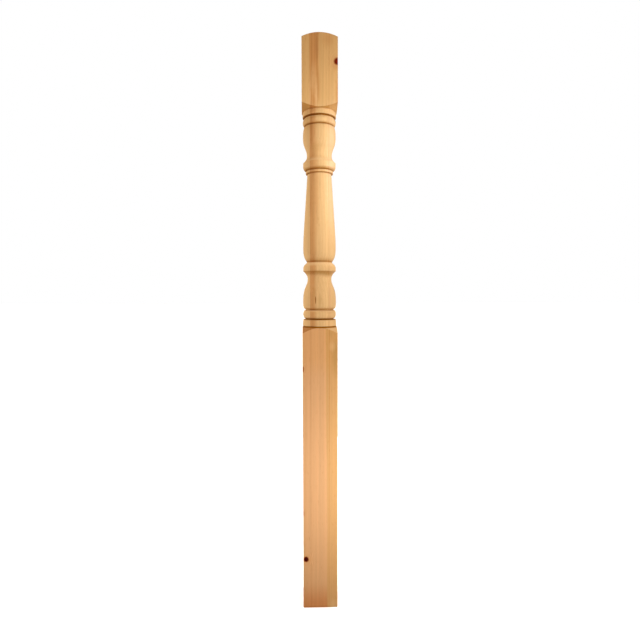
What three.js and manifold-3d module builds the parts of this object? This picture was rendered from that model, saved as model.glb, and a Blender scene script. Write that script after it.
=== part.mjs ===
import * as THREE from 'three';
import { mergeVertices } from 'three/addons/utils/BufferGeometryUtils.js';
import Module from 'manifold-3d';

// A stair newel post turned from one square blank: a long square foot block, a vase and
// ovolo, a long tapering bulb, an upper ovolo and vase, and a square head with a turned dome.
// Millimetres, +Z up. The origin is the middle of the sawn underside of the foot.

// Blank
const LENGTH = 1500;
const SQUARE = 91;
const ARRIS_EASE = 1.5;

// Head block, with the dome that is turned on its end
const HEAD_BLOCK = 190;
const DOME_HEIGHT = 21.8;

// Cone shoulders where the square is turned away, in degrees from level
const FOOT_SHOULDER_ANGLE = 38;
const HEAD_SHOULDER_ANGLE = 30;

// Each turned member has its height along the post, and its cut: how deep below the
// square's face the turner goes there. Angles are in degrees from level.

// Band on the foot shoulder. Both end bands have a fine quirk where they meet the cone.
const FOOT_BAND_HEIGHT = 20.2;
const FOOT_BAND_BOTTOM_CUT = 0.8;
const FOOT_BAND_TOP_CUT = 2;
const BAND_ROUNDING = 2.2;
const QUIRK_DEPTH = 1.6;
const QUIRK_HEIGHT = 1.2;

// Grooves between the turned members
const GROOVE_WIDTH = 1.6;
const LOWER_GROOVE_CUT = 8.4;
const UPPER_GROOVE_CUT = 8;

// Lower bead and vase
const LOWER_BEAD_HEIGHT = 23.5;
const LOWER_BEAD_CUT = 2;
const LOWER_EDGE_ANGLE = 15;
const LOWER_VASE_ROUND = 21.9;
const LOWER_VASE_CUT = 1.8;
const LOWER_VASE_FLOW = 57.9;
const LOWER_BELLY_FULLNESS = 0.65;
const LOWER_NECK_CUT = 14;
const LOWER_NECK_FULLNESS = 0.32;

// Lower cove and ovolo, with a sharp arris between them and a fillet above
const LOWER_COVE_HEIGHT = 20.6;
const LOWER_COVE_MOUTH_ANGLE = 40;
const LOWER_ARRIS_CUT = 2.2;
const LOWER_OVOLO_SIDE = 7;
const LOWER_OVOLO_CUT = 2.4;
const LOWER_OVOLO_ROUND = 14.6;
const LOWER_OVOLO_ANGLE = 35;
const FILLET_CUT = 11.9;
const FILLET_HEIGHT = 3.1;

// Long bulb, which runs out into a straight taper
const BULB_FOOT_ANGLE = 50;
const BULB_ROUND = 37.3;
const BULB_CUT = 2.5;
const BULB_FLOW = 50.1;
const TAPER_BOTTOM_CUT = 4.7;
const TAPER_HEIGHT = 140.1;
const TAPER_TOP_CUT = 14;

// Ring at the top of the taper
const RING_HEIGHT = 7.6;
const RING_CUT = 9.8;
const RING_CREASE_CUT = 11.2;

// Upper ovolo and cove
const UPPER_OVOLO_ANGLE = 20;
const UPPER_OVOLO_ROUND = 11.5;
const UPPER_OVOLO_CUT = 2.9;
const UPPER_OVOLO_SIDE = 8.9;
const UPPER_ARRIS_CUT = 3;
const UPPER_COVE_MOUTH_ANGLE = 45;
const UPPER_COVE_HEIGHT = 18;
const UPPER_NECK_CUT = 13;
const UPPER_NECK_FULLNESS = 0.44;

// Upper vase, bead and band
const UPPER_VASE_FLOW = 47;
const UPPER_BELLY_FULLNESS = 0.52;
const UPPER_VASE_CUT = 2.8;
const UPPER_VASE_ROUND = 26.6;
const UPPER_VASE_EDGE_CUT = 6;
const UPPER_VASE_EDGE_ANGLE = 70;
const UPPER_BEAD_HEIGHT = 20.3;
const UPPER_BEAD_CUT = 2.6;
const UPPER_BEAD_EDGE_ANGLE = 24;
const HEAD_BAND_HEIGHT = 15.7;
const HEAD_BAND_CUT = 2;

// Faceting
const SIDES = 40;
const ROUND_STEPS = 5;
const SMALL_STEPS = 2;
const FLOW_STEPS = 7;
const DOME_STEPS = 6;

// How far a rounded stretch keeps its end directions, as a share of its length
const ROUNDNESS = 0.37;
const UPRIGHT = 90;
const LEVEL = 0;

const HALF = SQUARE / 2;
const radiusAt = (cut) => HALF - cut;
const slope = (angle) => Math.tan(THREE.MathUtils.degToRad(angle));

// In the two blocks the turned outline runs just outside the blank's corners
const CORNER_CLEARANCE = 2;
const CLEAR_RADIUS = HALF * Math.SQRT2 + CORNER_CLEARANCE;

// The height of each cone shoulder at a radius, from where it meets the middle of a face
const footShoulder = (radius) => (HALF - radius) * slope(FOOT_SHOULDER_ANGLE);
const headShoulder = (radius) => (radius - HALF) * slope(HEAD_SHOULDER_ANGLE);

// The foot block takes up what the other members leave of the post's length
const LOWER_MEMBERS = FOOT_BAND_HEIGHT + GROOVE_WIDTH + LOWER_BEAD_HEIGHT + GROOVE_WIDTH
  + LOWER_VASE_ROUND + LOWER_VASE_FLOW
  + LOWER_COVE_HEIGHT + LOWER_OVOLO_SIDE + LOWER_OVOLO_ROUND + FILLET_HEIGHT;
const SHAFT_MEMBERS = BULB_ROUND + BULB_FLOW + TAPER_HEIGHT + RING_HEIGHT;
const UPPER_MEMBERS = UPPER_OVOLO_ROUND + UPPER_OVOLO_SIDE + UPPER_COVE_HEIGHT
  + UPPER_VASE_FLOW + UPPER_VASE_ROUND
  + GROOVE_WIDTH + UPPER_BEAD_HEIGHT + GROOVE_WIDTH + HEAD_BAND_HEIGHT;
const FOOT_BLOCK = LENGTH - HEAD_BLOCK - LOWER_MEMBERS - SHAFT_MEMBERS - UPPER_MEMBERS;

// The turning's outline, drawn upwards from the foot as points of radius and height
class Turning {
  constructor() {
    this.points = [new THREE.Vector2(0, 0)];
  }

  get end() {
    return this.points[this.points.length - 1];
  }

  add(radius, height) {
    this.points.push(new THREE.Vector2(radius, height));
  }

  straight(radius, rise) {
    this.add(radius, this.end.y + rise);
  }

  curve(radius, rise, firstPull, lastPull, steps) {
    const start = this.end;
    const end = new THREE.Vector2(radius, start.y + rise);
    const curve = new THREE.CubicBezierCurve(
      start,
      start.clone().add(firstPull),
      end.clone().sub(lastPull),
      end,
    );
    this.points.push(...curve.getSpacedPoints(steps).slice(1));
  }

  // A rounded stretch that leaves and arrives at the given angles
  round(radius, rise, leaveAngle, arriveAngle, steps = ROUND_STEPS) {
    const run = radius - this.end.x;
    const pull = Math.hypot(run, rise) * ROUNDNESS;
    const towards = (angle) => {
      const turn = THREE.MathUtils.degToRad(angle);
      return new THREE.Vector2(Math.sign(run) * Math.cos(turn), Math.sin(turn))
        .multiplyScalar(pull);
    };
    this.curve(radius, rise, towards(leaveAngle), towards(arriveAngle), steps);
  }

  // A flowing reverse curve, upright at both ends and fuller where its share is larger
  flow(radius, rise, firstFullness, lastFullness) {
    const firstPull = new THREE.Vector2(0, rise * firstFullness);
    const lastPull = new THREE.Vector2(0, rise * lastFullness);
    this.curve(radius, rise, firstPull, lastPull, FLOW_STEPS);
  }

  grooveAndBead(grooveRadius, beadRadius, beadHeight, edgeAngle) {
    this.straight(grooveRadius, 0);
    this.straight(grooveRadius, GROOVE_WIDTH);
    this.round(beadRadius, beadHeight / 2, edgeAngle, UPRIGHT);
    this.round(grooveRadius, beadHeight / 2, UPRIGHT, edgeAngle);
    this.straight(grooveRadius, GROOVE_WIDTH);
  }
}

function turnFootShoulder(turning) {
  const band = radiusAt(FOOT_BAND_BOTTOM_CUT);
  const quirk = band - QUIRK_DEPTH;
  turning.add(CLEAR_RADIUS, 0);
  turning.add(CLEAR_RADIUS, FOOT_BLOCK + footShoulder(CLEAR_RADIUS));
  turning.add(quirk, FOOT_BLOCK + footShoulder(quirk));
  turning.straight(band, QUIRK_HEIGHT);
}

function turnFootBand(turning) {
  const band = radiusAt(FOOT_BAND_TOP_CUT);
  turning.add(band, FOOT_BLOCK + FOOT_BAND_HEIGHT - BAND_ROUNDING);
  turning.round(band - BAND_ROUNDING, BAND_ROUNDING, UPRIGHT, LEVEL, SMALL_STEPS);
}

function turnLowerVase(turning) {
  turning.grooveAndBead(
    radiusAt(LOWER_GROOVE_CUT),
    radiusAt(LOWER_BEAD_CUT),
    LOWER_BEAD_HEIGHT,
    LOWER_EDGE_ANGLE,
  );
  turning.round(radiusAt(LOWER_VASE_CUT), LOWER_VASE_ROUND, LOWER_EDGE_ANGLE, UPRIGHT);
  turning.flow(
    radiusAt(LOWER_NECK_CUT),
    LOWER_VASE_FLOW,
    LOWER_BELLY_FULLNESS,
    LOWER_NECK_FULLNESS,
  );
}

function turnLowerOvolo(turning) {
  const arris = radiusAt(LOWER_ARRIS_CUT);
  const fillet = radiusAt(FILLET_CUT);
  turning.round(arris, LOWER_COVE_HEIGHT, UPRIGHT, LOWER_COVE_MOUTH_ANGLE);
  turning.straight(radiusAt(LOWER_OVOLO_CUT), LOWER_OVOLO_SIDE);
  turning.round(fillet, LOWER_OVOLO_ROUND, UPRIGHT, LOWER_OVOLO_ANGLE);
  turning.straight(fillet, FILLET_HEIGHT);
}

function turnShaft(turning) {
  const taperBottom = radiusAt(TAPER_BOTTOM_CUT);
  const taperTop = radiusAt(TAPER_TOP_CUT);
  const pull = BULB_FLOW / 3;
  const up = new THREE.Vector2(0, pull);
  const lean = new THREE.Vector2(taperTop - taperBottom, TAPER_HEIGHT).setLength(pull);
  turning.round(radiusAt(BULB_CUT), BULB_ROUND, BULB_FOOT_ANGLE, UPRIGHT);
  turning.curve(taperBottom, BULB_FLOW, up, lean, FLOW_STEPS);
  turning.straight(taperTop, TAPER_HEIGHT);
}

function turnRing(turning) {
  const crease = radiusAt(RING_CREASE_CUT);
  const ring = radiusAt(RING_CUT);
  turning.straight(crease, 0);
  turning.round(ring, RING_HEIGHT / 2, LEVEL, UPRIGHT, SMALL_STEPS);
  turning.round(crease, RING_HEIGHT / 2, UPRIGHT, LEVEL, SMALL_STEPS);
}

function turnUpperOvolo(turning) {
  const neck = radiusAt(UPPER_NECK_CUT);
  turning.round(radiusAt(UPPER_OVOLO_CUT), UPPER_OVOLO_ROUND, UPPER_OVOLO_ANGLE, UPRIGHT);
  turning.straight(radiusAt(UPPER_ARRIS_CUT), UPPER_OVOLO_SIDE);
  turning.round(neck, UPPER_COVE_HEIGHT, UPPER_COVE_MOUTH_ANGLE, UPRIGHT);
}

function turnUpperVase(turning) {
  turning.flow(
    radiusAt(UPPER_VASE_CUT),
    UPPER_VASE_FLOW,
    UPPER_NECK_FULLNESS,
    UPPER_BELLY_FULLNESS,
  );
  turning.round(
    radiusAt(UPPER_VASE_EDGE_CUT),
    UPPER_VASE_ROUND,
    UPRIGHT,
    UPPER_VASE_EDGE_ANGLE,
  );
  turning.grooveAndBead(
    radiusAt(UPPER_GROOVE_CUT),
    radiusAt(UPPER_BEAD_CUT),
    UPPER_BEAD_HEIGHT,
    UPPER_BEAD_EDGE_ANGLE,
  );
}

function turnHeadShoulder(turning) {
  const band = radiusAt(HEAD_BAND_CUT);
  const quirk = band - QUIRK_DEPTH;
  const headFoot = LENGTH - HEAD_BLOCK;
  turning.straight(band - BAND_ROUNDING, 0);
  turning.round(band, BAND_ROUNDING, LEVEL, UPRIGHT, SMALL_STEPS);
  turning.add(band, headFoot + headShoulder(quirk) - QUIRK_HEIGHT);
  turning.add(quirk, headFoot + headShoulder(quirk));
  turning.add(CLEAR_RADIUS, headFoot + headShoulder(CLEAR_RADIUS));
}

// A shallow spherical cap from outside the blank's corners up to the crown
function turnDome(turning) {
  const sphere = (CLEAR_RADIUS ** 2 + DOME_HEIGHT ** 2) / (2 * DOME_HEIGHT);
  const spread = Math.asin(CLEAR_RADIUS / sphere);
  for (let step = 0; step <= DOME_STEPS; step += 1) {
    const turn = spread * (1 - step / DOME_STEPS);
    turning.add(sphere * Math.sin(turn), LENGTH - sphere * (1 - Math.cos(turn)));
  }
}

// A closed solid from a geometry, with its shared corners merged
function solidFrom(wasm, geometry) {
  const bare = new THREE.BufferGeometry();
  bare.setAttribute('position', geometry.getAttribute('position'));
  bare.setIndex(geometry.getIndex());
  const merged = mergeVertices(bare, 1e-4);
  const corners = merged.getIndex().array;
  const triVerts = [];
  for (let first = 0; first < corners.length; first += 3) {
    const [a, b, c] = corners.slice(first, first + 3);
    if (a !== b && b !== c && c !== a) {
      triVerts.push(a, b, c);
    }
  }
  return new wasm.Manifold(new wasm.Mesh({
    numProp: 3,
    vertProperties: merged.getAttribute('position').array,
    triVerts: new Uint32Array(triVerts),
  }));
}

function geometryFrom(solid) {
  const mesh = solid.getMesh();
  const geometry = new THREE.BufferGeometry();
  geometry.setAttribute('position', new THREE.BufferAttribute(mesh.vertProperties, 3));
  geometry.setIndex(new THREE.BufferAttribute(mesh.triVerts, 1));
  geometry.computeVertexNormals();
  return geometry;
}

// The turned outline, thick enough in the blocks to clear the blank's corners
function turnedGeometry() {
  const turning = new Turning();
  turnFootShoulder(turning);
  turnFootBand(turning);
  turnLowerVase(turning);
  turnLowerOvolo(turning);
  turnShaft(turning);
  turnRing(turning);
  turnUpperOvolo(turning);
  turnUpperVase(turning);
  turnHeadShoulder(turning);
  turnDome(turning);
  return new THREE.LatheGeometry(turning.points, SIDES).rotateX(Math.PI / 2);
}

// The planed square blank with eased arrises, a little longer than the post at both ends
function blankGeometry() {
  const flat = HALF - ARRIS_EASE;
  const section = new THREE.Shape([
    new THREE.Vector2(flat, -HALF),
    new THREE.Vector2(HALF, -flat),
    new THREE.Vector2(HALF, flat),
    new THREE.Vector2(flat, HALF),
    new THREE.Vector2(-flat, HALF),
    new THREE.Vector2(-HALF, flat),
    new THREE.Vector2(-HALF, -flat),
    new THREE.Vector2(-flat, -HALF),
  ]);
  const spare = SQUARE;
  const blank = new THREE.ExtrudeGeometry(section, {
    depth: LENGTH + 2 * spare,
    bevelEnabled: false,
  });
  return blank.translate(0, 0, -spare);
}

function makeNewelPost(wasm) {
  const turned = solidFrom(wasm, turnedGeometry());
  const blank = solidFrom(wasm, blankGeometry());
  const material = new THREE.MeshStandardMaterial({
    color: 0xd9a367,
    roughness: 0.62,
    metalness: 0,
  });
  const post = new THREE.Mesh(geometryFrom(turned.intersect(blank)), material);
  post.name = 'newel_post';
  return post;
}

const wasm = await Module();
wasm.setup();

const newel = new THREE.Group();
newel.add(makeNewelPost(wasm));

export default newel;
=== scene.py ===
import math

import bpy
from mathutils import Euler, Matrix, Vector


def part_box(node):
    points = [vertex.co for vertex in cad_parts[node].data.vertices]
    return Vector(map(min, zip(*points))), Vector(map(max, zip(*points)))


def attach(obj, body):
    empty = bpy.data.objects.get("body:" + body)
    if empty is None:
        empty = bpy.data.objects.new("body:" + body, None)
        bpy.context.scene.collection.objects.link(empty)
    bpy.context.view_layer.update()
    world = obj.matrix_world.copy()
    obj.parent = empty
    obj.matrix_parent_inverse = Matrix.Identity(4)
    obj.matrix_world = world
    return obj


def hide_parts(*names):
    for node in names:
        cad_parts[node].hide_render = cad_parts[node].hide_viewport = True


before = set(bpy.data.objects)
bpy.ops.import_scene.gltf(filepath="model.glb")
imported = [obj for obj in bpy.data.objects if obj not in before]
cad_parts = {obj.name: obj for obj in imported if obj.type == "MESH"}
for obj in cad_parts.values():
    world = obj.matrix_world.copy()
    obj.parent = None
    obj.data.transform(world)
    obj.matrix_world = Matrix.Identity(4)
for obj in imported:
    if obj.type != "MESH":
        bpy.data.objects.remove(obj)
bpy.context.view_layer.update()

# A turned softwood newel post, laminated from three staves. Sizes are in millimetres
# from the middle of the sawn underside, +Z up, and MM turns them into metres.
MM = 0.001
POST_LOW, POST_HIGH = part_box("newel_post")

# Blank, head block and dome
LENGTH = (POST_HIGH[2] - POST_LOW[2]) / MM
SQUARE = (POST_HIGH[0] - POST_LOW[0]) / MM
HALF = SQUARE / 2
ARRIS_EASE = 1.1
HEAD_BLOCK = 190
DOME_HEIGHT = 21.8
FOOT_SHOULDER_ANGLE = 38
HEAD_SHOULDER_ANGLE = 30

# Turned members: their heights, how far they are cut below the square's face, and the
# angles and fullness of their curves
FOOT_BAND_HEIGHT = 20.2
FOOT_BAND_BOTTOM_CUT = 0.8
FOOT_BAND_TOP_CUT = 2
BAND_ROUNDING = 2.2
QUIRK_DEPTH = 1.6
QUIRK_HEIGHT = 1.2
GROOVE_WIDTH = 1.6
LOWER_GROOVE_CUT = 8.4
UPPER_GROOVE_CUT = 8
LOWER_BEAD_HEIGHT = 23.5
LOWER_BEAD_CUT = 2
LOWER_EDGE_ANGLE = 15
LOWER_VASE_ROUND = 21.9
LOWER_VASE_CUT = 1.8
LOWER_VASE_FLOW = 57.9
LOWER_BELLY_FULLNESS = 0.65
LOWER_NECK_CUT = 14
LOWER_NECK_FULLNESS = 0.32
LOWER_COVE_HEIGHT = 20.6
LOWER_COVE_MOUTH_ANGLE = 40
LOWER_ARRIS_CUT = 2.2
LOWER_OVOLO_SIDE = 7
LOWER_OVOLO_CUT = 2.4
LOWER_OVOLO_ROUND = 14.6
LOWER_OVOLO_ANGLE = 35
FILLET_CUT = 11.9
FILLET_HEIGHT = 3.1
BULB_FOOT_ANGLE = 50
BULB_ROUND = 37.3
BULB_CUT = 2.5
BULB_FLOW = 50.1
BULB_FULLNESS = 1 / 3
TAPER_BOTTOM_CUT = 4.7
TAPER_HEIGHT = 140.1
TAPER_TOP_CUT = 14
RING_HEIGHT = 7.6
RING_CUT = 9.8
RING_CREASE_CUT = 11.2
UPPER_OVOLO_ANGLE = 20
UPPER_OVOLO_ROUND = 11.5
UPPER_OVOLO_CUT = 2.9
UPPER_OVOLO_SIDE = 8.9
UPPER_ARRIS_CUT = 3
UPPER_COVE_MOUTH_ANGLE = 45
UPPER_COVE_HEIGHT = 18
UPPER_NECK_CUT = 13
UPPER_NECK_FULLNESS = 0.44
UPPER_VASE_FLOW = 47
UPPER_BELLY_FULLNESS = 0.52
UPPER_VASE_CUT = 2.8
UPPER_VASE_ROUND = 26.6
UPPER_VASE_EDGE_CUT = 6
UPPER_VASE_EDGE_ANGLE = 70
UPPER_BEAD_HEIGHT = 20.3
UPPER_BEAD_CUT = 2.6
UPPER_BEAD_EDGE_ANGLE = 24
HEAD_BAND_HEIGHT = 15.7
HEAD_BAND_CUT = 2

# How dark the painted shade in each crease is, from 0 to 1; a pair is for the lower and the upper
# groove. The
# # foot quirk's painted shade lies a little below the quirk's edge
FOOT_QUIRK_DARKNESS = 1
LOWER_DARKNESS = (0.9, 0.4)
FILLET_DARKNESS = 0.7
RING_DARKNESS = 0.5
UPPER_DARKNESS = (0.65, 1)
HEAD_QUIRK_DARKNESS = 0.12
FOOT_QUIRK_DROP = 0.8

# Curves leave and arrive level or upright, and this share of their span rounds them
LEVEL = 0
UPRIGHT = 90
ROUNDNESS = 0.37

# Fineness of the mesh, and its sanded edges
SPIN_STEPS = 120
ROUND_STEPS = 10
SMALL_STEPS = 4
FLOW_STEPS = 18
TAPER_STEPS = 10
DOME_STEPS = 12
MERGE_DISTANCE = 0.001
ARRIS_SEGMENTS = 3
ARRIS_SANDING = 0.35
SANDING_SEGMENTS = 2
SMOOTH_ANGLE = 28


def foot_shoulder(radius):
    return (HALF - radius) * math.tan(math.radians(FOOT_SHOULDER_ANGLE))


def head_shoulder(radius):
    return (radius - HALF) * math.tan(math.radians(HEAD_SHOULDER_ANGLE))


CORNER_CLEARANCE = 2
CLEAR_RADIUS = HALF * math.sqrt(2) + CORNER_CLEARANCE
LOWER_MEMBERS = (FOOT_BAND_HEIGHT + 2 * GROOVE_WIDTH + LOWER_BEAD_HEIGHT
                 + LOWER_VASE_ROUND + LOWER_VASE_FLOW + LOWER_COVE_HEIGHT
                 + LOWER_OVOLO_SIDE + LOWER_OVOLO_ROUND + FILLET_HEIGHT)
SHAFT_MEMBERS = BULB_ROUND + BULB_FLOW + TAPER_HEIGHT + RING_HEIGHT
UPPER_MEMBERS = (UPPER_OVOLO_ROUND + UPPER_OVOLO_SIDE + UPPER_COVE_HEIGHT
                 + UPPER_VASE_FLOW + UPPER_VASE_ROUND
                 + 2 * GROOVE_WIDTH + UPPER_BEAD_HEIGHT + HEAD_BAND_HEIGHT)
FOOT_BLOCK = LENGTH - HEAD_BLOCK - LOWER_MEMBERS - SHAFT_MEMBERS - UPPER_MEMBERS
HEAD_FOOT = LENGTH - HEAD_BLOCK


class Outline:
    """The turning's outline, drawn upwards as points of radius and height."""

    def __init__(self):
        self.points = [(0.0, 0.0)]
        self.creases = []

    def add(self, radius, height):
        self.points.append((radius, height))

    def crease(self, darkness, drop=0.0):
        """Notes a sharp hollow, how dark the painted shade in it is and how far down."""
        self.creases.append((self.points[-1][1] - drop, darkness))

    def straight(self, radius, rise, steps=1):
        from_radius, base = self.points[-1]
        for step in range(1, steps + 1):
            share = step / steps
            self.add(from_radius + (radius - from_radius) * share, base + rise * share)

    def curve(self, radius, rise, first_pull, last_pull, steps):
        start = Vector(self.points[-1])
        end = Vector((radius, start.y + rise))
        first = start + Vector(first_pull)
        last = end - Vector(last_pull)
        for step in range(1, steps + 1):
            t = step / steps
            u = 1 - t
            here = start * u**3 + first * 3 * u**2 * t + last * 3 * u * t**2 + end * t**3
            self.add(here.x, here.y)

    def round(self, radius, rise, leave_angle, arrive_angle, steps=ROUND_STEPS):
        run = radius - self.points[-1][0]
        pull = math.hypot(run, rise) * ROUNDNESS
        side = math.copysign(1, run)

        def towards(angle):
            turn = math.radians(angle)
            return (side * math.cos(turn) * pull, math.sin(turn) * pull)

        self.curve(radius, rise, towards(leave_angle), towards(arrive_angle), steps)

    def flow(self, radius, rise, first_fullness, last_fullness):
        self.curve(radius, rise, (0, rise * first_fullness), (0, rise * last_fullness), FLOW_STEPS)

    def groove_and_bead(self, groove, bead, bead_height, edge_angle, darkness):
        lower_darkness, upper_darkness = darkness
        self.straight(groove, 0)
        self.straight(groove, GROOVE_WIDTH)
        self.crease(lower_darkness, GROOVE_WIDTH / 2)
        self.round(bead, bead_height / 2, edge_angle, UPRIGHT)
        self.round(groove, bead_height / 2, UPRIGHT, edge_angle)
        self.crease(upper_darkness)
        self.straight(groove, GROOVE_WIDTH)


def turn_foot(outline):
    band = HALF - FOOT_BAND_BOTTOM_CUT
    quirk = band - QUIRK_DEPTH
    outline.add(CLEAR_RADIUS, 0)
    outline.add(CLEAR_RADIUS, FOOT_BLOCK + foot_shoulder(CLEAR_RADIUS))
    outline.add(quirk, FOOT_BLOCK + foot_shoulder(quirk))
    outline.crease(FOOT_QUIRK_DARKNESS, FOOT_QUIRK_DROP)
    outline.straight(band, QUIRK_HEIGHT)
    band = HALF - FOOT_BAND_TOP_CUT
    outline.add(band, FOOT_BLOCK + FOOT_BAND_HEIGHT - BAND_ROUNDING)
    outline.round(band - BAND_ROUNDING, BAND_ROUNDING, UPRIGHT, LEVEL, SMALL_STEPS)


def turn_lower_vase(outline):
    groove = HALF - LOWER_GROOVE_CUT
    bead = HALF - LOWER_BEAD_CUT
    outline.groove_and_bead(groove, bead, LOWER_BEAD_HEIGHT, LOWER_EDGE_ANGLE, LOWER_DARKNESS)
    outline.round(HALF - LOWER_VASE_CUT, LOWER_VASE_ROUND, LOWER_EDGE_ANGLE, UPRIGHT)
    outline.flow(HALF - LOWER_NECK_CUT, LOWER_VASE_FLOW, LOWER_BELLY_FULLNESS, LOWER_NECK_FULLNESS)


def turn_lower_ovolo(outline):
    fillet = HALF - FILLET_CUT
    outline.round(HALF - LOWER_ARRIS_CUT, LOWER_COVE_HEIGHT, UPRIGHT, LOWER_COVE_MOUTH_ANGLE)
    outline.straight(HALF - LOWER_OVOLO_CUT, LOWER_OVOLO_SIDE)
    outline.round(fillet, LOWER_OVOLO_ROUND, UPRIGHT, LOWER_OVOLO_ANGLE)
    outline.straight(fillet, FILLET_HEIGHT)
    outline.crease(FILLET_DARKNESS)


def turn_shaft(outline):
    taper_bottom = HALF - TAPER_BOTTOM_CUT
    taper_top = HALF - TAPER_TOP_CUT
    pull = BULB_FLOW * BULB_FULLNESS
    lean = Vector((taper_top - taper_bottom, TAPER_HEIGHT)).normalized() * pull
    outline.round(HALF - BULB_CUT, BULB_ROUND, BULB_FOOT_ANGLE, UPRIGHT)
    outline.curve(taper_bottom, BULB_FLOW, (0, pull), lean, FLOW_STEPS)
    outline.straight(taper_top, TAPER_HEIGHT, TAPER_STEPS)


def turn_ring(outline):
    crease = HALF - RING_CREASE_CUT
    outline.straight(crease, 0)
    outline.crease(RING_DARKNESS)
    outline.round(HALF - RING_CUT, RING_HEIGHT / 2, LEVEL, UPRIGHT, SMALL_STEPS)
    outline.round(crease, RING_HEIGHT / 2, UPRIGHT, LEVEL, SMALL_STEPS)
    outline.crease(RING_DARKNESS)


def turn_upper_ovolo(outline):
    outline.round(HALF - UPPER_OVOLO_CUT, UPPER_OVOLO_ROUND, UPPER_OVOLO_ANGLE, UPRIGHT)
    outline.straight(HALF - UPPER_ARRIS_CUT, UPPER_OVOLO_SIDE)
    outline.round(HALF - UPPER_NECK_CUT, UPPER_COVE_HEIGHT, UPPER_COVE_MOUTH_ANGLE, UPRIGHT)


def turn_upper_vase(outline):
    groove = HALF - UPPER_GROOVE_CUT
    edge = HALF - UPPER_VASE_EDGE_CUT
    bead = HALF - UPPER_BEAD_CUT
    outline.flow(HALF - UPPER_VASE_CUT, UPPER_VASE_FLOW, UPPER_NECK_FULLNESS, UPPER_BELLY_FULLNESS)
    outline.round(edge, UPPER_VASE_ROUND, UPRIGHT, UPPER_VASE_EDGE_ANGLE)
    outline.groove_and_bead(groove, bead, UPPER_BEAD_HEIGHT, UPPER_BEAD_EDGE_ANGLE,
                            UPPER_DARKNESS)


def turn_head(outline):
    band = HALF - HEAD_BAND_CUT
    quirk = band - QUIRK_DEPTH
    outline.straight(band - BAND_ROUNDING, 0)
    outline.round(band, BAND_ROUNDING, LEVEL, UPRIGHT, SMALL_STEPS)
    outline.add(band, HEAD_FOOT + head_shoulder(quirk) - QUIRK_HEIGHT)
    outline.add(quirk, HEAD_FOOT + head_shoulder(quirk))
    outline.crease(HEAD_QUIRK_DARKNESS)
    outline.add(CLEAR_RADIUS, HEAD_FOOT + head_shoulder(CLEAR_RADIUS))
    sphere = (CLEAR_RADIUS**2 + DOME_HEIGHT**2) / (2 * DOME_HEIGHT)
    spread = math.asin(CLEAR_RADIUS / sphere)
    for step in range(DOME_STEPS + 1):
        turn = spread * (1 - step / DOME_STEPS)
        outline.add(sphere * math.sin(turn), LENGTH - sphere * (1 - math.cos(turn)))


def whole_outline():
    outline = Outline()
    turn_foot(outline)
    turn_lower_vase(outline)
    turn_lower_ovolo(outline)
    turn_shaft(outline)
    turn_ring(outline)
    turn_upper_ovolo(outline)
    turn_upper_vase(outline)
    turn_head(outline)
    return outline


def deselect_all():
    for item in bpy.context.selected_objects:
        item.select_set(False)


def apply_modifier(piece, kind, **settings):
    bpy.context.view_layer.objects.active = piece
    modifier = piece.modifiers.new(kind.title(), kind)
    for name, value in settings.items():
        setattr(modifier, name, value)
    bpy.ops.object.modifier_apply(modifier=modifier.name)


def turned_blank(points):
    """Draws the outline as a wire, one extrusion at a time, and spins it round the axis."""
    deselect_all()
    bpy.ops.mesh.primitive_plane_add(size=MM, location=(0, 0, 0))
    turned = bpy.context.object
    bpy.ops.object.mode_set(mode="EDIT")
    bpy.ops.mesh.merge(type="CENTER")
    for (radius, height), (next_radius, next_height) in zip(points, points[1:]):
        move = ((next_radius - radius) * MM, 0, (next_height - height) * MM)
        bpy.ops.mesh.extrude_vertices_move(TRANSFORM_OT_translate={"value": move})
    bpy.ops.mesh.select_all(action="SELECT")
    bpy.ops.mesh.spin(steps=SPIN_STEPS, angle=math.tau, center=(0, 0, 0), axis=(0, 0, 1))
    bpy.ops.mesh.select_all(action="SELECT")
    bpy.ops.mesh.remove_doubles(threshold=MERGE_DISTANCE * MM)
    bpy.ops.mesh.normals_make_consistent(inside=False)
    bpy.ops.object.mode_set(mode="OBJECT")
    return turned


def planed_square():
    """The planed square blank, longer than the post, with its four arrises eased."""
    deselect_all()
    spare = SQUARE
    middle = LENGTH / 2 * MM
    bpy.ops.mesh.primitive_cube_add(size=SQUARE * MM, location=(0, 0, middle))
    square = bpy.context.object
    square.scale = (1, 1, (LENGTH + 2 * spare) / SQUARE)
    bpy.ops.object.transform_apply(location=True, rotation=True, scale=True)
    bpy.ops.object.mode_set(mode="EDIT")
    bpy.ops.mesh.select_mode(type="EDGE")
    bpy.ops.mesh.select_all(action="DESELECT")
    bpy.ops.object.mode_set(mode="OBJECT")
    corners = square.data.vertices
    for edge in square.data.edges:
        low, high = (corners[index].co.z for index in edge.vertices)
        edge.select = abs(high - low) > SQUARE * MM
    bpy.ops.object.mode_set(mode="EDIT")
    bpy.ops.mesh.bevel(offset=ARRIS_EASE * MM, segments=ARRIS_SEGMENTS)
    bpy.ops.object.mode_set(mode="OBJECT")
    return square


def newel_post(points):
    post = turned_blank(points)
    square = planed_square()
    apply_modifier(post, "BOOLEAN", operation="INTERSECT", solver="EXACT", object=square)
    bpy.data.objects.remove(square)
    apply_modifier(post, "BEVEL", width=ARRIS_SANDING * MM, segments=SANDING_SEGMENTS,
                   limit_method="ANGLE", angle_limit=math.radians(SMOOTH_ANGLE),
                   use_clamp_overlap=True)
    post.name = "turned_newel_post"
    deselect_all()
    post.select_set(True)
    bpy.context.view_layer.objects.active = post
    bpy.ops.object.transform_apply(location=True, rotation=True, scale=True)
    bpy.ops.object.shade_smooth_by_angle(angle=math.radians(SMOOTH_ANGLE))
    return post


# Materials

# The mix node's sockets go by number, because several of them share a name
MIX_SHARE = 0
MIX_VALUES = (2, 3)
MIX_COLOURS = (6, 7)
MIXED_VALUE = 0
MIXED_COLOUR = 2

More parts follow.
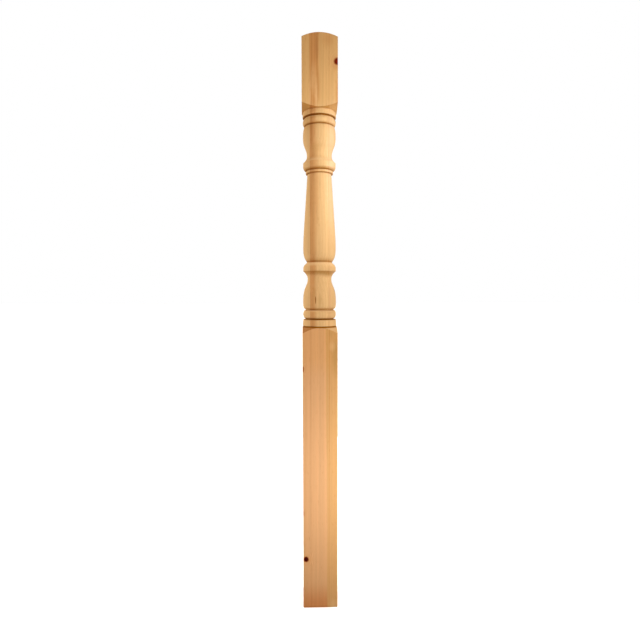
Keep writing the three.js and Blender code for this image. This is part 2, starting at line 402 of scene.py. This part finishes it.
# Noise: how many finer layers it has, and their strength
SMOOTH_DETAIL = 1.0
NOISE_DETAIL = 2.0
FIBRE_DETAIL = 3.0
NOISE_ROUGHNESS = 0.5
FINE_FIBRE_ROUGHNESS = 0.6


class Tree:
    """Adds nodes to a node tree and joins them, so that a material reads from top to bottom."""

    def __init__(self, tree):
        self.tree = tree

    def node(self, kind, inputs=None, **settings):
        made = self.tree.nodes.new(kind)
        for name, value in settings.items():
            setattr(made, name, value)
        for name, value in (inputs or {}).items():
            self.feed(made.inputs[name], value)
        return made

    def feed(self, socket, value):
        if isinstance(value, bpy.types.NodeSocket):
            self.tree.links.new(value, socket)
        else:
            socket.default_value = value

    def effect(self, group, **inputs):
        """Places a node group; an input's name is written with _ for each space."""
        made = self.node("ShaderNodeGroup", node_tree=group)
        for name, value in inputs.items():
            self.feed(made.inputs[name.replace("_", " ").title()], value)
        return made.outputs

    def math(self, operation, first, second=0.0, third=0.0):
        inputs = {0: first, 1: second, 2: third}
        return self.node("ShaderNodeMath", inputs, operation=operation).outputs[0]

    def vary(self, value, amount):
        """A factor round 1 that follows a value from 0 to 1."""
        return self.math("MULTIPLY_ADD", value, amount, 1 - amount / 2)

    def vector(self, operation, first, second):
        inputs = {0: first, 1: second}
        return self.node("ShaderNodeVectorMath", inputs, operation=operation).outputs[0]

    def length(self, vector):
        return self.node("ShaderNodeVectorMath", {0: vector}, operation="LENGTH").outputs["Value"]

    def step(self, value, start, end):
        """Goes smoothly from 0 at start to 1 at end."""
        inputs = {"Value": value, "From Min": start, "From Max": end}
        made = self.node("ShaderNodeMapRange", inputs, interpolation_type="SMOOTHSTEP")
        return made.outputs["Result"]

    def between(self, share, first, second):
        from_value, to_value = MIX_VALUES
        inputs = {MIX_SHARE: share, from_value: first, to_value: second}
        return self.node("ShaderNodeMix", inputs).outputs[MIXED_VALUE]

    def mix(self, share, first, second, blend="MIX"):
        from_colour, to_colour = MIX_COLOURS
        inputs = {MIX_SHARE: share, from_colour: first, to_colour: second}
        made = self.node("ShaderNodeMix", inputs, data_type="RGBA", blend_type=blend)
        return made.outputs[MIXED_COLOUR]

    def tint(self, share, colour, by):
        return self.mix(share, colour, self.mix(1.0, colour, by, "MULTIPLY"))

    def shade(self, colour, factor):
        grey = self.node("ShaderNodeCombineColor", {0: factor, 1: factor, 2: factor}).outputs[0]
        return self.mix(1.0, colour, grey, "MULTIPLY")

    def noise(self, vector, stretch, detail=NOISE_DETAIL, rough=NOISE_ROUGHNESS):
        """Noise whose grains per metre along x, y and z are given by stretch."""
        placed = self.vector("MULTIPLY", vector, stretch)
        inputs = {"Vector": placed, "Scale": 1.0, "Detail": detail, "Roughness": rough}
        return self.node("ShaderNodeTexNoise", inputs).outputs


def node_group(name, inputs, outputs):
    group = bpy.data.node_groups.new(name, "ShaderNodeTree")
    for label, kind in inputs:
        group.interface.new_socket(label, in_out="INPUT", socket_type=kind)
    for label, kind in outputs:
        group.interface.new_socket(label, in_out="OUTPUT", socket_type=kind)
    source = group.nodes.new("NodeGroupInput").outputs
    target = group.nodes.new("NodeGroupOutput").inputs
    return Tree(group), source, target


VECTOR = "NodeSocketVector"
FLOAT = "NodeSocketFloat"

# Each year's wood darkens slowly, then ends at once. The rings sway a little along the
# trunk, which tapers
LATEWOOD_START = 0.3
LATEWOOD_FULL = 0.9
YEAR_END = 0.95
RING_SWAY = (9, 9, 1.3)
TRUNK_TAPER = (1, 1, 0.02)
CENTRED = (0.5, 0.5, 0.5)


def growth_rings():
    """Yearly rings round a pith, which wander a little along the stave."""
    inputs = [("Place", VECTOR), ("Pith", VECTOR), ("Ring Width", FLOAT),
              ("Wander", FLOAT), ("Push", FLOAT)]
    tree, source, target = node_group("growth rings", inputs,
                                      [("Latewood", FLOAT), ("Year", FLOAT)])
    from_pith = tree.vector("SUBTRACT", source["Place"], source["Pith"])
    sway = tree.noise(from_pith, RING_SWAY)["Color"]
    sway = tree.vector("SUBTRACT", sway, CENTRED)
    sway = tree.node("ShaderNodeVectorMath", {0: sway, "Scale": source["Wander"]},
                     operation="SCALE").outputs[0]
    swayed = tree.vector("ADD", from_pith, sway)
    reach = tree.length(tree.vector("MULTIPLY", swayed, TRUNK_TAPER))
    years = tree.math("DIVIDE", tree.math("ADD", reach, source["Push"]), source["Ring Width"])
    growth = tree.math("FRACT", years)
    rise = tree.step(growth, LATEWOOD_START, LATEWOOD_FULL)
    fall = tree.step(growth, 1.0, YEAR_END)
    tree.feed(target["Latewood"], tree.math("MULTIPLY", rise, fall))
    year = tree.node("ShaderNodeTexWhiteNoise", {"W": tree.math("FLOOR", years)},
                     noise_dimensions="1D")
    tree.feed(target["Year"], year.outputs["Value"])
    return tree.tree


# Grains per metre across, into and along the post
FINE_FIBRES = (1300, 1300, 22)
STREAKS = (190, 190, 3)
MOTTLE = (36, 36, 9)
CANALS = (750, 750, 50)
CANAL_EDGE = (0.64, 0.74)


def fibre():
    """Fine fibres along the grain, soft streaks, a slow mottle and short resin canals."""
    outputs = [("Fine", FLOAT), ("Streak", FLOAT), ("Mottle", FLOAT), ("Canal", FLOAT)]
    tree, source, target = node_group("fibre", [("Place", VECTOR)], outputs)
    fine = tree.noise(source["Place"], FINE_FIBRES, FIBRE_DETAIL, FINE_FIBRE_ROUGHNESS)
    tree.feed(target["Fine"], fine["Fac"])
    tree.feed(target["Streak"], tree.noise(source["Place"], STREAKS, FIBRE_DETAIL)["Fac"])
    tree.feed(target["Mottle"], tree.noise(source["Place"], MOTTLE)["Fac"])
    canals = tree.noise(source["Place"], CANALS, SMOOTH_DETAIL)["Fac"]
    tree.feed(target["Canal"], tree.step(canals, *CANAL_EDGE))
    return tree.tree


# A spot's ragged edge, the years in a knot, and where each part of a spot starts and is
# full, as shares of the spot's half size
RAGGED_EDGE = (110, 110, 110)
RAGGEDNESS = 0.4
KNOT_YEARS = 7
CORE_EDGE = (1.1, 0.8)
HEART_EDGE = (0.85, 0.35)
RIM_EDGE = (1.5, 1.0)
HALO_EDGE = (3.0, 1.6)
CLOUD_EDGE = (1.0, 0.1)
PUSH_EDGE = (4.5, 0.6)


def spot():
    """A knot or mark: its ragged core, the heart and years inside it, the rim and halo round
    it, its soft cloud, and how far it pushes the rings aside."""
    inputs = [("Place", VECTOR), ("Centre", VECTOR), ("Size", VECTOR)]
    outputs = [("Core", FLOAT), ("Heart", FLOAT), ("Years", FLOAT), ("Rim", FLOAT),
               ("Halo", FLOAT), ("Cloud", FLOAT), ("Push", FLOAT)]
    tree, source, target = node_group("spot", inputs, outputs)
    away = tree.vector("SUBTRACT", source["Place"], source["Centre"])
    reach = tree.length(tree.vector("DIVIDE", away, source["Size"]))
    ragged = tree.noise(source["Place"], RAGGED_EDGE, FIBRE_DETAIL)["Fac"]
    edge = tree.math("MULTIPLY_ADD", ragged, RAGGEDNESS, -RAGGEDNESS / 2)
    spread = tree.math("ADD", reach, edge)
    tree.feed(target["Core"], tree.step(spread, *CORE_EDGE))
    tree.feed(target["Heart"], tree.step(spread, *HEART_EDGE))
    years = tree.math("MULTIPLY", spread, KNOT_YEARS)
    tree.feed(target["Years"], tree.math("PINGPONG", years, 1.0))
    tree.feed(target["Rim"], tree.step(spread, *RIM_EDGE))
    tree.feed(target["Halo"], tree.step(spread, *HALO_EDGE))
    tree.feed(target["Cloud"], tree.step(spread, *CLOUD_EDGE))
    tree.feed(target["Push"], tree.step(reach, *PUSH_EDGE))
    return tree.tree


# How far from its bottom a crease's painted shade fades out, and how far it is at its darkest
CREASE_REACH = 3.1
CREASE_CORE = 0.8


def crease():
    """Painted shade in a sharp hollow at one height, darkest at its bottom."""
    tree, source, target = node_group("crease", [("Place", VECTOR), ("Height", FLOAT)],
                                      [("Mask", FLOAT)])
    up = tree.node("ShaderNodeSeparateXYZ", {0: source["Place"]}).outputs["Z"]
    off = tree.math("ABSOLUTE", tree.math("SUBTRACT", up, source["Height"]))
    tree.feed(target["Mask"], tree.step(off, CREASE_REACH * MM, CREASE_CORE * MM))
    return tree.tree


# The three staves meet at two glue lines, and each was sawn from its own side of a trunk
GLUE_LINES = (-24.8, 23.5)
GLUE_WIDTH = 0.7
GLUE_SHADE_WIDTH = 4
PITHS = ((-150, 30, 0), (-112, 12, 0), (190, -20, 0))
RING_WIDTHS = (2.6, 3.2, 2.9)
RING_WANDER = 7
KNOT_PUSH = 7

# Heartwood: the foot block's up to a sharp line, redder and greyer towards the ground and
# yellower at its top, then a stripe along the middle stave
FOOT_HEART_EDGE = (18, 15)
FOOT_HEART_LEANS = (150, 650)
FOOT_HEART_SOFTNESS = 0.9
FOOT_HEART_WAVE = 5
STRIPE_EDGE_TURNED = -12
STRIPE_EDGE_HEAD = -3
STRIPE_SOFTNESS = 4.5
STRIPE_WAVE = 8
STRIPE_WIDENS = (HEAD_FOOT - 20, HEAD_FOOT + 25)
RED_END = (80, 0)
SAWN_EDGE = 7
TOP_YELLOWED = (610, 680)

# Knots: the middle, and the half sizes across, into and along the post
KNOTS = {"head knot": ((44.6, -45.4, 1420), (7.8, 2.2, 7.6)),
         "foot knot": ((-38.1, -45, 133.8), (5.8, 14, 6.6)),
         "edge knot": ((-44, -45.5, 644), (1.8, 6, 5.8))}
RESIN_STREAK = ((-11.6, -43, 823.5), (1.2, 5, 10.5))

# Clouds of colour, the last three of them painted shade: the middle, the half sizes, the colour
# and its strength
REDDISH = (0.55, 0.20, 0.08, 1)
ORANGE = (0.63, 0.29, 0.095, 1)
BROWN = (0.56, 0.315, 0.108, 1)
STREAK = (0.52, 0.23, 0.08, 1)
STRIPE = (0.69, 0.375, 0.15, 1)
PALE = (0.80, 0.51, 0.24, 1)
PINK = (0.72, 0.39, 0.20, 1)
WHITISH = (0.82, 0.56, 0.33, 1)
CLOUDS = (((-46, -45, 259), (7, 16, 13), REDDISH, 0.8),
          ((47, -46, 1345), (10, 10, 64), ORANGE, 0.95),
          ((40, -45, 1412), (12, 10, 22), ORANGE, 0.6),
          ((-25, -45, 1335), (4.5, 12, 60), PALE, 0.7),
          ((-9, -45, 1335), (5, 12, 60), PALE, 0.8),
          ((-11, -38, 1125), (13, 20, 210), STRIPE, 0.85),
          ((41, -45, 678), (17, 24, 76), BROWN, 0.9),
          ((30, -45, 737), (13, 24, 16), BROWN, 0.4),
          ((31, -45, 703), (12, 24, 20), PALE, 0.4),
          ((-8, -45, 1452), (6.5, 26, 52), STREAK, 0.75),
          ((-20, -45, 1420), (3, 26, 90), STREAK, 0.4),
          ((-3, -45, 1365), (2.4, 26, 60), STREAK, 0.3),
          ((-15, -43, 838), (6, 12, 34), BROWN, 0.4),
          ((-1, -44, 823), (7, 12, 26), BROWN, 0.35),
          ((34, -45, 8), (18, 24, 20), PALE, 0.55),
          ((20, -45, 1474), (22, 24, 26), ORANGE, 0.35),
          ((-16, -45, 1376), (12, 14, 56), PALE, 0.45),
          ((26, -38, 842), (4, 16, 120), PINK, 0.5),
          ((-21.3, -37, 1265), (5, 17, 120), STREAK, 0.9),
          ((32, -32, 1160), (24, 36, 240), WHITISH, 0.8),
          # Painted shadow under the lower ovolo's right side, then painted shade on the left of
          # the upper vase and of its neck
          ((24, -30, 889), (28, 32, 10), BROWN, 0.6),
          ((-33, -28, 1285), (20, 36, 42), BROWN, 0.5),
          ((-9, -30, 1212), (18, 32, 20), BROWN, 0.35))

# Colours of the wood
SAPWOOD = (0.78, 0.515, 0.245, 1)
SAPWOOD_LATE = (0.70, 0.42, 0.175, 1)
HEARTWOOD = (0.75, 0.435, 0.213, 1)
HEARTWOOD_LATE = (0.69, 0.37, 0.17, 1)
TOP_HEARTWOOD = (1.0, 0.96, 0.86, 1)
STRIPE_LATE = (0.56, 0.255, 0.088, 1)
YELLOW = (0.70, 0.405, 0.168, 1)
YELLOW_LATE = (0.65, 0.35, 0.128, 1)
RED_END_TINT = (0.90, 0.68, 0.54, 1)
SAWN_EDGE_TINT = (0.82, 0.80, 0.76, 1)
HEAD_TINT = (0.99, 0.94, 0.84, 1)
KNOT_EDGES = {"head knot": (0.10, 0.005, 0.0005, 1), "foot knot": (0.07, 0.004, 0.0005, 1),
              "edge knot": (0.36, 0.12, 0.02, 1)}
KNOT_HEARTS = {"head knot": (0.24, 0.014, 0.001, 1), "foot knot": (0.05, 0.003, 0.0005, 1),
               "edge knot": (0.42, 0.16, 0.03, 1)}
KNOT_RIM = (0.34, 0.06, 0.008, 1)
RESIN = (0.34, 0.13, 0.03, 1)
GLUE = (0.76, 0.58, 0.48, 1)
GLUE_SHADE = (0.98, 0.93, 0.89, 1)
# Painted shade in the creases
CREASE_SHADE = (0.42, 0.24, 0.02, 1)
CANAL = (0.80, 0.66, 0.52, 1)
# Painted shade on faces that look down, painted shade on the foot shoulder's heartwood and a
# browner tone on the dome's end grain where they look up, and painted light on the other faces
# that look up
PAINTED_UNDERSIDE_SHADE = (0.68, 0.54, 0.34, 1)
HEART_SHADE_AND_DOME_GRAIN = (0.56, 0.42, 0.24, 1)
PAINTED_TOP_LIGHT = (0.86, 0.62, 0.34, 1)
HALO = (0.70, 0.38, 0.16, 1)

# How strongly the grain shows, and how rough, glossy and raised the wood is. The relief of
# latewood, turning lines and knots is in parts of the grain's
YEAR_TONE = 0.05
STREAK_TONE = 0.14
FINE_TONE = 0.2
CANAL_STRENGTH = 0.5
# Which way a face looks for its painted shade and light to start and be full, the right stave's
# share of the painted underside shade, how brown the dome's end grain is, and the strength of the
# painted top light
FACING_FROM = 0.3
FACING_FULL = 0.85
RIGHT_UNDERSIDE_SHADE = 0.8
DOME_CROSS_CUT = 0.45
TOP_LIGHT_STRENGTH = 0.6
KNOT_YEAR_TONE = 0.6
RIM_STRENGTH = 0.85
HALO_STRENGTH = 0.5
ROUGHNESS = 0.6
FIBRE_ROUGHNESS = 0.12
KNOT_ROUGHNESS = 0.25
GLOSS = 0.06
TURNING_LINES = (4, 4, 1400)
GRAIN_RELIEF = 0.05
RELIEF_STRENGTH = 0.5
LATEWOOD_RELIEF = 0.5
TURNING_RELIEF = 0.3
KNOT_DEPTH = 2


def metres(values):
    return tuple(value * MM for value in values)


def stave_rings(tree, place, across, knots):
    """Latewood and year of the stave that a point lies in."""
    push = 0.0
    for masks in knots.values():
        push = tree.math("MULTIPLY_ADD", masks["Push"], KNOT_PUSH * MM, push)
    group = growth_rings()
    late = year = None
    for number, (pith, width) in enumerate(zip(PITHS, RING_WIDTHS)):
        rings = tree.effect(group, place=place, pith=metres(pith), ring_width=width * MM,
                            wander=RING_WANDER * MM, push=push)
        if number == 0:
            late, year = rings["Latewood"], rings["Year"]
            continue
        past_glue = tree.math("GREATER_THAN", across, GLUE_LINES[number - 1] * MM)
        late = tree.between(past_glue, late, rings["Latewood"])
        year = tree.between(past_glue, year, rings["Year"])
    return late, year


def left_of(tree, across, edge, mottle, wave, softness):
    """1 on the left of an edge that wanders with the mottle, and 0 on its right."""
    sway = tree.math("MULTIPLY_ADD", mottle, wave * MM, -wave / 2 * MM)
    inside = tree.math("SUBTRACT", edge, tree.math("ADD", across, sway))
    return tree.step(inside, -softness * MM, softness * MM)


def foot_heartwood(tree, across, up, mottle):
    """The foot's heartwood ends at a line that leans and wanders a little."""
    lean = tree.step(up, *metres(FOOT_HEART_LEANS))
    edge = tree.between(lean, *metres(FOOT_HEART_EDGE))
    return left_of(tree, across, edge, mottle, FOOT_HEART_WAVE, FOOT_HEART_SOFTNESS)


def wood_colour(tree, across, up, late, mottle):
    """Sapwood and heartwood by place, before the streaks and marks."""
    sap = tree.mix(late, SAPWOOD, SAPWOOD_LATE)
    stripe_wood = tree.mix(late, STRIPE, STRIPE_LATE)
    yellow = tree.mix(late, YELLOW, YELLOW_LATE)
    red = tree.mix(late, HEARTWOOD, HEARTWOOD_LATE)
    widened = tree.step(up, *metres(STRIPE_WIDENS))
    edge = tree.between(widened, STRIPE_EDGE_TURNED * MM, STRIPE_EDGE_HEAD * MM)
    stripe = left_of(tree, across, edge, mottle, STRIPE_WAVE, STRIPE_SOFTNESS)
    past_glue = tree.math("GREATER_THAN", across, GLUE_LINES[0] * MM)
    upper = tree.mix(tree.math("MULTIPLY", stripe, past_glue), sap, stripe_wood)
    foot_heart = foot_heartwood(tree, across, up, mottle)
    foot = tree.mix(foot_heart, yellow, red)
    yellowed = tree.step(up, *metres(TOP_YELLOWED))
    foot = tree.tint(yellowed, foot, TOP_HEARTWOOD)
    red_end = tree.step(up, *metres(RED_END))
    foot = tree.tint(tree.math("MULTIPLY", red_end, foot_heart), foot, RED_END_TINT)
    foot = tree.tint(tree.step(up, SAWN_EDGE * MM, 0), foot, SAWN_EDGE_TINT)
    upper = tree.tint(widened, upper, HEAD_TINT)
    above_foot = tree.math("GREATER_THAN", up, FOOT_BLOCK * MM)
    return tree.mix(above_foot, foot, upper)


def clouded_colour(tree, colour, place, group):
    for centre, size, cloud_colour, strength in CLOUDS:
        inside = tree.effect(group, place=place, centre=metres(centre), size=metres(size))["Cloud"]
        colour = tree.mix(tree.math("MULTIPLY", inside, strength), colour, cloud_colour)
    return colour


def marked_colour(tree, colour, across, knots, resin):
    """Glue lines, knots and the resin streak over the plain wood."""
    for line in GLUE_LINES:
        off = tree.math("ABSOLUTE", tree.math("SUBTRACT", across, line * MM))
        colour = tree.tint(tree.step(off, GLUE_SHADE_WIDTH / 2 * MM, 0), colour, GLUE_SHADE)
        colour = tree.tint(tree.step(off, GLUE_WIDTH / 2 * MM, 0), colour, GLUE)
    colour = tree.mix(resin["Core"], colour, RESIN)
    for name, masks in knots.items():
        halo = tree.math("MULTIPLY", masks["Halo"], HALO_STRENGTH)
        colour = tree.mix(halo, colour, HALO)
        rim = tree.math("MULTIPLY", masks["Rim"], RIM_STRENGTH)
        colour = tree.mix(rim, colour, KNOT_RIM)
        core = tree.mix(masks["Heart"], KNOT_EDGES[name], KNOT_HEARTS[name])
        core = tree.shade(core, tree.vary(masks["Years"], KNOT_YEAR_TONE))
        colour = tree.mix(masks["Core"], colour, core)
    return colour


def facing_light_and_dome_end_grain(tree, colour, across, up, mottle):
    """Painted light and shade by which way a face looks: a painted shade on faces that look down
    and on the foot shoulder's heartwood where it looks up, a painted light on the other faces
    that look up, and a browner tone on the dome's wood cut across its fibres."""
    normal = tree.node("ShaderNodeTexCoord").outputs["Normal"]
    lean = tree.node("ShaderNodeSeparateXYZ", {0: normal}).outputs["Z"]
    facing_up = tree.step(lean, FACING_FROM, FACING_FULL)
    facing_down = tree.step(lean, -FACING_FROM, -FACING_FULL)
    heart = tree.math("MULTIPLY", foot_heartwood(tree, across, up, mottle),
                      tree.math("LESS_THAN", up, FOOT_BLOCK * MM))
    dome = tree.math("GREATER_THAN", up, HEAD_FOOT * MM)
    plain = tree.math("SUBTRACT", 1.0, tree.math("ADD", heart, dome))
    top_light = tree.math("MULTIPLY", tree.math("MULTIPLY", facing_up, plain), TOP_LIGHT_STRENGTH)
    colour = tree.mix(top_light, colour, PAINTED_TOP_LIGHT)
    heart_shade_and_dome_grain = tree.math("MULTIPLY_ADD", dome, DOME_CROSS_CUT, heart)
    colour = tree.tint(tree.math("MULTIPLY", facing_up, heart_shade_and_dome_grain), colour, HEART_SHADE_AND_DOME_GRAIN)
    past_glue = tree.math("GREATER_THAN", across, GLUE_LINES[1] * MM)
    share = tree.between(past_glue, 1.0, RIGHT_UNDERSIDE_SHADE)
    return tree.tint(tree.math("MULTIPLY", facing_down, share), colour, PAINTED_UNDERSIDE_SHADE)


# Darkens the wood at each crease with painted shade
def painted_crease_shade(tree, colour, place, creases):
    group = crease()
    mask = 0.0
    for height, darkness in creases:
        near = tree.effect(group, place=place, height=height * MM)["Mask"]
        mask = tree.math("MAXIMUM", mask, tree.math("MULTIPLY", near, darkness))
    return tree.tint(mask, colour, CREASE_SHADE)


def wood_normal(tree, place, fine, late, knots):
    """Raised latewood and fibres, faint turning lines and sunken knots."""
    lines = tree.noise(place, TURNING_LINES, SMOOTH_DETAIL)["Fac"]
    height = tree.math("MULTIPLY_ADD", late, LATEWOOD_RELIEF, fine)
    height = tree.math("MULTIPLY_ADD", lines, TURNING_RELIEF, height)
    for masks in knots.values():
        height = tree.math("MULTIPLY_ADD", masks["Core"], -KNOT_DEPTH, height)
    inputs = {"Height": height, "Strength": RELIEF_STRENGTH, "Distance": GRAIN_RELIEF * MM}
    return tree.node("ShaderNodeBump", inputs).outputs["Normal"]


def sanded_pine(creases):
    material = bpy.data.materials.new("sanded laminated pine")
    material.use_nodes = True
    tree = Tree(material.node_tree)
    shader = material.node_tree.nodes["Principled BSDF"].inputs
    place = tree.node("ShaderNodeTexCoord").outputs["Object"]
    across, _, up = tree.node("ShaderNodeSeparateXYZ", {0: place}).outputs
    fibres = tree.effect(fibre(), place=place)
    group = spot()
    knots = {name: tree.effect(group, place=place, centre=metres(centre), size=metres(size))
             for name, (centre, size) in KNOTS.items()}
    centre, size = RESIN_STREAK
    resin = tree.effect(group, place=place, centre=metres(centre), size=metres(size))
    late, year = stave_rings(tree, place, across, knots)
    colour = wood_colour(tree, across, up, late, fibres["Mottle"])
    colour = clouded_colour(tree, colour, place, group)
    tone = tree.math("MULTIPLY", tree.vary(year, YEAR_TONE),
                     tree.vary(fibres["Streak"], STREAK_TONE))
    tone = tree.math("MULTIPLY", tone, tree.vary(fibres["Fine"], FINE_TONE))
    canal = tree.math("MULTIPLY", fibres["Canal"], CANAL_STRENGTH)
    colour = tree.tint(canal, tree.shade(colour, tone), CANAL)
    colour = marked_colour(tree, colour, across, knots, resin)
    colour = facing_light_and_dome_end_grain(tree, colour, across, up, fibres["Mottle"])
    tree.feed(shader["Base Color"], painted_crease_shade(tree, colour, place, creases))
    rough = tree.math("MULTIPLY_ADD", fibres["Fine"], FIBRE_ROUGHNESS, ROUGHNESS)
    for masks in knots.values():
        rough = tree.math("MULTIPLY_ADD", masks["Core"], KNOT_ROUGHNESS, rough)
    tree.feed(shader["Roughness"], rough)
    shader["Specular IOR Level"].default_value = GLOSS
    tree.feed(shader["Normal"], wood_normal(tree, place, fibres["Fine"], late, knots))
    return material


# The camera stands a little to the post's left and looks slightly down
CAMERA_DISTANCE = 1264
CAMERA_HEIGHT = 846.5
CAMERA_AZIMUTH = -1.8
CAMERA_PITCH = -3.5
CAMERA_ROLL = -0.09
CAMERA_SIDESTEP = 1.1
FOCAL_LENGTH = 26.6
SENSOR_WIDTH = 36
NEAREST_SEEN = 50


def add_camera():
    azimuth = math.radians(CAMERA_AZIMUTH)
    data = bpy.data.cameras.new("camera")
    data.sensor_width = SENSOR_WIDTH
    data.lens = FOCAL_LENGTH
    data.clip_start = NEAREST_SEEN * MM
    camera = bpy.data.objects.new("camera", data)
    bpy.context.scene.collection.objects.link(camera)
    back = Vector((math.sin(azimuth), -math.cos(azimuth), 0)) * CAMERA_DISTANCE
    side = Vector((math.cos(azimuth), math.sin(azimuth), 0)) * CAMERA_SIDESTEP
    camera.location = (back + side + Vector((0, 0, CAMERA_HEIGHT))) * MM
    turn = Euler((math.radians(UPRIGHT + CAMERA_PITCH), 0, azimuth))
    turn.rotate_axis("Z", math.radians(CAMERA_ROLL))
    camera.rotation_euler = turn
    bpy.context.scene.camera = camera


# Two softboxes stand close by on the right, and weaker panels on the left, behind, in front
# and overhead. A warm fill comes from all round, and a light of its own keeps the floor pale
SOFTBOX_SIDE = (400, -375)
SOFTBOX_SIZE = (240, 280)
SOFTBOX_COLOUR = (0.97, 0.98, 1.0)
HIGH_SOFTBOX = {"height": 1155, "power": 1.39, "spread": 120}
LOW_SOFTBOX = {"height": 340, "power": 1.82, "spread": 130}
PANELS = {"panel": {"place": (-950, 120, 800), "aim": 800, "size": (600, 1700), "power": 8.2},
          "rear panel": {"place": (500, 1300, 900), "aim": 900, "size": (900, 1800),
                         "power": 13},
          "front panel": {"place": (-500, -1500, 800), "aim": 800, "size": (700, 1500),
                          "power": 4.1},
          "overhead panel": {"place": (0, -60, 2800), "aim": 0, "size": (600, 600),
                             "power": 5}}
PANEL_COLOUR = (1, 1, 1)
PANEL_SPREAD = 180
FILL_ABOVE = (0.45, 0.335, 0.213, 1)
FILL_BELOW = (0.25, 0.185, 0.118, 1)
FILL_BLEND = 0.3
BACKDROP = (1, 1, 1, 1)
FLOOR_SIZE = 60000
FLOOR_COLOUR = (0.93, 0.93, 0.92, 1)
FLOOR_ROUGHNESS = 1.0
FLOOR_SUN = 3.4
FLOOR_SUN_ANGLE = 60


def area_light(name, place, aim, size, power, colour, spread):
    """A light that faces the post's axis at the height given by aim."""
    data = bpy.data.lights.new(name, "AREA")
    data.shape = "RECTANGLE"
    data.size, data.size_y = metres(size)
    data.spread = math.radians(spread)
    data.energy = power
    data.color = colour
    light = bpy.data.objects.new(name, data)
    light.location = metres(place)
    towards = Vector((0, 0, aim)) - Vector(place)
    light.rotation_euler = towards.to_track_quat("-Z", "Y").to_euler()
    light.visible_camera = False
    bpy.context.scene.collection.objects.link(light)


def pale_floor():
    deselect_all()
    bpy.ops.mesh.primitive_plane_add(size=FLOOR_SIZE * MM, location=(0, 0, 0))
    floor = bpy.context.object
    floor.name = "floor"
    floor.visible_diffuse = False
    paint = bpy.data.materials.new("pale floor")
    paint.use_nodes = True
    shader = paint.node_tree.nodes["Principled BSDF"].inputs
    shader["Base Color"].default_value = FLOOR_COLOUR
    shader["Roughness"].default_value = FLOOR_ROUGHNESS
    floor.data.materials.append(paint)
    sun = bpy.data.lights.new("floor light", "SUN")
    sun.energy = FLOOR_SUN
    sun.angle = math.radians(FLOOR_SUN_ANGLE)
    light = bpy.data.objects.new("floor light", sun)
    bpy.context.scene.collection.objects.link(light)
    lit = bpy.data.collections.new("lit by the floor light")
    lit.objects.link(floor)
    light.light_linking.receiver_collection = lit


def backdrop():
    """White to the camera, and a warm fill to the post, weaker from below."""
    world = bpy.data.worlds.new("studio")
    world.use_nodes = True
    tree = Tree(world.node_tree)
    seen = tree.node("ShaderNodeLightPath").outputs["Is Camera Ray"]
    background = world.node_tree.nodes["Background"].inputs
    direction = tree.node("ShaderNodeTexCoord").outputs["Generated"]
    up = tree.node("ShaderNodeSeparateXYZ", {0: direction}).outputs["Z"]
    fill = tree.mix(tree.step(up, -FILL_BLEND, FILL_BLEND), FILL_BELOW, FILL_ABOVE)
    tree.feed(background["Color"], tree.mix(seen, fill, BACKDROP))
    bpy.context.scene.world = world


def studio():
    backdrop()
    pale_floor()
    for name, box in {"high softbox": HIGH_SOFTBOX, "low softbox": LOW_SOFTBOX}.items():
        height = box["height"]
        area_light(name, (*SOFTBOX_SIDE, height), height, SOFTBOX_SIZE, box["power"],
                   SOFTBOX_COLOUR, box["spread"])
    for name, panel in PANELS.items():
        area_light(name, panel["place"], panel["aim"], panel["size"], panel["power"],
                   PANEL_COLOUR, PANEL_SPREAD)
    bpy.context.scene.view_settings.view_transform = "Standard"


add_camera()
outline = whole_outline()
post = newel_post(outline.points)
post.data.materials.clear()
post.data.materials.append(sanded_pine(outline.creases))
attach(post, "root")
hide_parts("newel_post")
studio()
